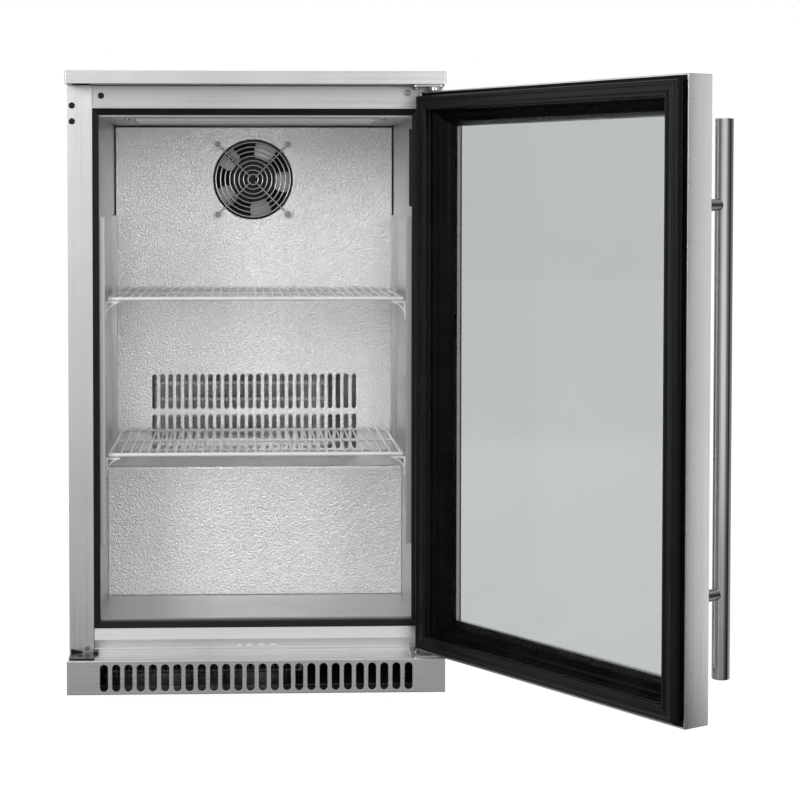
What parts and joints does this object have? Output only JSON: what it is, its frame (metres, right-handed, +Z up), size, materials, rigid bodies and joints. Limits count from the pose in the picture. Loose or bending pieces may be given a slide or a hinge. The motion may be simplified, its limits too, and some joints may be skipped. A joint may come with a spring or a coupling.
{
  "type": "undercounter refrigerator",
  "caption": "Undercounter display refrigerator: stainless cabinet with a hinged double-glazed door, wire shelves, fan-cooled interior and a slotted kick grille.",
  "frame": {"origin": "centre of the base pan's underside, midway between the cabinet's sides and between the worktop's front and back edges", "axes": "+X to the user's right facing the door opening, +Y from the front to the back, +Z up"},
  "size_m": [0.7981, 0.9037, 0.8418],
  "materials": {
    "stainless": "satin",
    "door_steel": "satin",
    "polished_steel": "polished",
    "zinc_steel": "satin",
    "embossed_aluminium": "satin",
    "liner_metal": "satin",
    "bare_aluminium": "satin",
    "fin_aluminium": "satin",
    "white_coat": "gloss",
    "white_plastic": "gloss",
    "diffuser": "satin",
    "black_plastic": "matte",
    "throat_black": "satin",
    "black_rubber": "matte",
    "gasket_rubber": "satin",
    "black_paint": "gloss",
    "guard_chrome": "gloss",
    "pane_glass": "gloss",
    "display_black": "gloss",
    "foam": "matte",
    "copper": "satin"
  },
  "bodies": {
    "cabinet": {"base_pan": "zinc_steel", "blank_hinge_plate": "black_paint", "bottom_hinge_bracket": "zinc_steel", "breaker_strips": "throat_black", "ceiling_light_body": "white_plastic", "ceiling_light_lens": "diffuser", "compressor": "black_paint", "compressor_mounts": "black_rubber", "condenser": "fin_aluminium", "condenser_fan_motor": "black_paint", "condenser_fan_shroud": "zinc_steel", "controller": "display_black", "drip_tray": "black_plastic", "evaporator": "fin_aluminium", "evaporator_cover": "embossed_aluminium", "fan_guard": "guard_chrome", "fan_guard_screws": "zinc_steel", "fan_housing": "black_plastic", "fan_motor": "black_paint", "hinge_pins": "polished_steel", "hinge_screws": "zinc_steel", "hole_plugs": "black_plastic", "hump_cover": "embossed_aluminium", "insulation_foam": "foam", "kick_grille": "stainless", "liner_ceiling_rear": "liner_metal", "liner_floor": "liner_metal", "liner_left": "liner_metal", "liner_right": "liner_metal", "power_inlet": "black_plastic", "rear_grille": "black_paint", "rear_panel": "zinc_steel", "refrigerant_lines": "copper", "shelf_clips": "white_plastic", "shelf_pilasters": "liner_metal", "side_lamp": "black_plastic", "side_panel_left": "stainless", "side_panel_right": "stainless", "sill_panel": "stainless", "top_hinge_bracket": "zinc_steel", "top_rail": "stainless", "worktop": "stainless"},
    "door": {"door_frame": "door_steel", "door_foam": "foam", "door_inner_frame": "throat_black", "door_gasket": "gasket_rubber", "outer_pane": "pane_glass", "inner_pane": "pane_glass", "glass_spacer": "bare_aluminium", "hinge_bushes": "black_plastic", "handle_bar": "polished_steel", "handle_posts": "polished_steel"},
    "evaporator_fan": {"evaporator_fan": "black_plastic"},
    "condenser_fan": {"condenser_fan": "bare_aluminium"},
    "upper_shelf": {"upper_shelf": "white_coat"},
    "lower_shelf": {"lower_shelf": "white_coat"},
    "foot_front_left": {"foot_front_left": "black_rubber"},
    "foot_front_right": {"foot_front_right": "black_rubber"},
    "foot_rear_left": {"foot_rear_left": "black_rubber"},
    "foot_rear_right": {"foot_rear_right": "black_rubber"}
  },
  "joints": [
    {"name": "door_hinge", "type": "hinge", "parent": "cabinet", "child": "door", "pos_m": [0.236, -0.2335, 0.42], "axis": [0, 0, 1], "range_deg": [-122.3, 2.7]},
    {"name": "evaporator_fan_spin", "type": "hinge", "parent": "cabinet", "child": "evaporator_fan", "pos_m": [-0.0017, 0.153, 0.6832], "axis": [0, -1, 0], "continuous": true},
    {"name": "condenser_fan_spin", "type": "hinge", "parent": "cabinet", "child": "condenser_fan", "pos_m": [-0.045, 0.128, 0.118], "axis": [1, 0, 0], "continuous": true},
    {"name": "upper_shelf_lift", "type": "slide", "parent": "cabinet", "child": "upper_shelf", "axis": [0, 0, 1], "range_m": [0, 0.025]},
    {"name": "lower_shelf_lift", "type": "slide", "parent": "cabinet", "child": "lower_shelf", "axis": [0, 0, 1], "range_m": [0, 0.025]},
    {"name": "foot_front_left_height", "type": "slide", "parent": "cabinet", "child": "foot_front_left", "axis": [0, 0, -1], "range_m": [0, 0.012]},
    {"name": "foot_front_right_height", "type": "slide", "parent": "cabinet", "child": "foot_front_right", "axis": [0, 0, -1], "range_m": [0, 0.012]},
    {"name": "foot_rear_left_height", "type": "slide", "parent": "cabinet", "child": "foot_rear_left", "axis": [0, 0, -1], "range_m": [0, 0.012]},
    {"name": "foot_rear_right_height", "type": "slide", "parent": "cabinet", "child": "foot_rear_right", "axis": [0, 0, -1], "range_m": [0, 0.012]}
  ]
}
